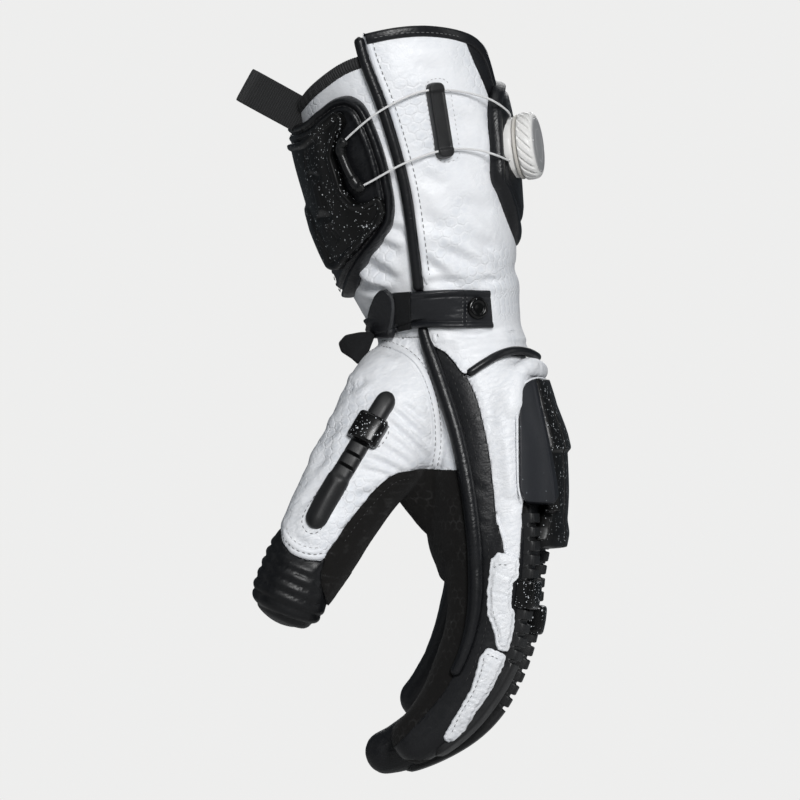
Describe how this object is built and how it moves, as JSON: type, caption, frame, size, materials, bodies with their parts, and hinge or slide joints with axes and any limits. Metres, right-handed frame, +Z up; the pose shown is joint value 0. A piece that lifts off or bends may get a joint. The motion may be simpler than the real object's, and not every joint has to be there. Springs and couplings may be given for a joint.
{
  "type": "leather motorcycle glove",
  "caption": "Left-hand gauntlet glove of white and black leather with a lapped cuff, wrist strap, lace and turning dial, knuckle guard and notched spines on curled fingers.",
  "frame": {"origin": "the middle of the wrist's hollow, under the wrist strap", "axes": "+Z runs up the forearm to the cuff's mouth, +X points out of the back of the hand, -Y is the thumb side"},
  "size_m": [0.1377, 0.1118, 0.3058],
  "materials": {
    "white_leather": "white grained leather with a faint hexagon emboss, soft satin",
    "black_leather": "near-black leather, satin",
    "suede": "near-black suede, matt",
    "rubber": "dark grey moulded rubber, matt",
    "gloss_plate": "glossy black lacquer with fine white speckles",
    "white_plastic": "white moulded plastic, satin",
    "grey_metal": "satin grey",
    "lace": "thin braided grey lace",
    "webbing": "black ribbed webbing, matt"
  },
  "bodies": {
    "glove": {"cuff_palm_side": "white_leather", "cuff_flap": "white_leather", "back_panel": "white_leather", "thenar_panel": "white_leather", "thumb_back": "white_leather", "knuckle_roll": "white_leather", "index_strip_upper": "white_leather", "index_strip_lower": "white_leather", "cuff_binding": "black_leather", "flap_binding": "black_leather", "flap_gusset": "black_leather", "thumb_side_panel": "black_leather", "outer_side_panel": "black_leather", "thumb_tip": "black_leather", "index_finger": "black_leather", "middle_finger": "black_leather", "ring_finger": "black_leather", "little_finger": "black_leather", "flap_piping": "black_leather", "side_piping": "black_leather", "knuckle_piping": "black_leather", "wrist_strap": "black_leather", "cuff_pad": "black_leather", "dial_pad": "black_leather", "palm_panel": "suede", "thumb_inner": "suede", "strap_tab": "suede", "strap_end": "suede", "guard_base": "rubber", "index_spine": "rubber", "middle_spine": "rubber", "ring_spine": "rubber", "little_spine": "rubber", "thumb_spine": "rubber", "lace_guide": "rubber", "lace_hook": "rubber", "guard_plate": "gloss_plate", "cuff_plate": "gloss_plate", "index_clip": "gloss_plate", "middle_clip": "gloss_plate", "ring_clip": "gloss_plate", "little_clip": "gloss_plate", "thumb_clip": "gloss_plate", "snap_stud": "gloss_plate", "dial_base": "white_plastic", "dial_flange": "white_plastic", "lace": "lace", "pull_loop": "webbing"},
    "dial_stem": {"dial_spindle": "grey_metal"},
    "dial_knob": {"dial_knob": "white_plastic", "dial_cap": "grey_metal"}
  },
  "joints": [
    {"name": "dial_pop", "type": "slide", "parent": "glove", "child": "dial_stem", "axis": [0.9723, -0.2001, 0.121], "range_m": [0, 0.0025]},
    {"name": "dial_turn", "type": "hinge", "parent": "dial_stem", "child": "dial_knob", "pos_m": [0.0276, -0.014, 0.0671], "axis": [0.9723, -0.2001, 0.121], "continuous": true}
  ]
}
